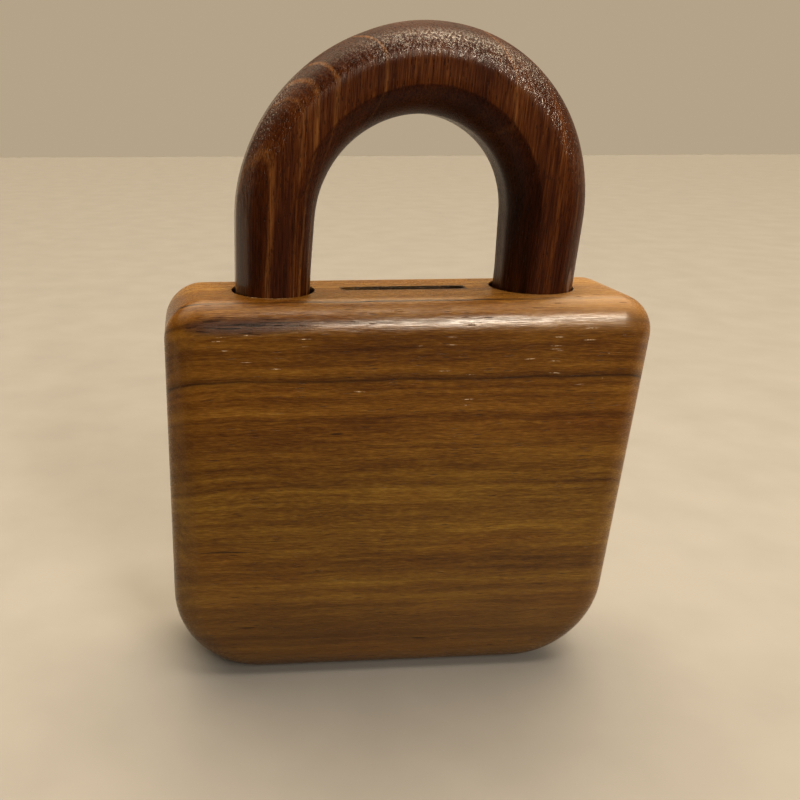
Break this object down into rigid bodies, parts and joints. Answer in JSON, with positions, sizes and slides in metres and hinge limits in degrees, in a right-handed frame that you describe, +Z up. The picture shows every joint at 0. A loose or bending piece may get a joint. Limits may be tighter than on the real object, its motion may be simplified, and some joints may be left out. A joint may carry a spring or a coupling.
{
  "type": "wooden padlock puzzle bank",
  "caption": "Padlock-shaped wooden coin bank: hollow rounded block of two glued halves, slot in its top, and a lift-out U shackle held by hidden sliding pins.",
  "frame": {"origin": "centre of the body's flat base, on the surface it stands on", "axes": "+Z up towards the shackle, +X to the right across the front face, +Y from the front face to the back face"},
  "size_m": [0.15, 0.044, 0.204],
  "materials": {
    "body_wood": "satin oiled, mid golden brown, grain running across",
    "shackle_wood": "satin oiled, dark red-brown, grain running upright",
    "pin_steel": "turned steel",
    "sleeve_brass": "drawn tube",
    "dowel_wood": "bare birch"
  },
  "bodies": {
    "body": {"front_half": "body_wood", "back_half": "body_wood", "left_pin_sleeve": "sleeve_brass", "right_pin_sleeve": "sleeve_brass", "upper_left_dowel": "dowel_wood", "upper_right_dowel": "dowel_wood", "lower_left_dowel": "dowel_wood", "lower_right_dowel": "dowel_wood"},
    "shackle": {"shackle": "shackle_wood"},
    "left_pin": {"left_lock_pin": "pin_steel"},
    "right_pin": {"right_lock_pin": "pin_steel"}
  },
  "joints": [
    {"name": "shackle_lift", "type": "slide", "parent": "body", "child": "shackle", "axis": [0, 0, 1], "range_m": [0, 0.06]},
    {"name": "left_pin_slide", "type": "slide", "parent": "body", "child": "left_pin", "axis": [1, 0, 0], "range_m": [0, 0.008]},
    {"name": "right_pin_slide", "type": "slide", "parent": "body", "child": "right_pin", "axis": [-1, 0, 0], "range_m": [0, 0.008]}
  ]
}
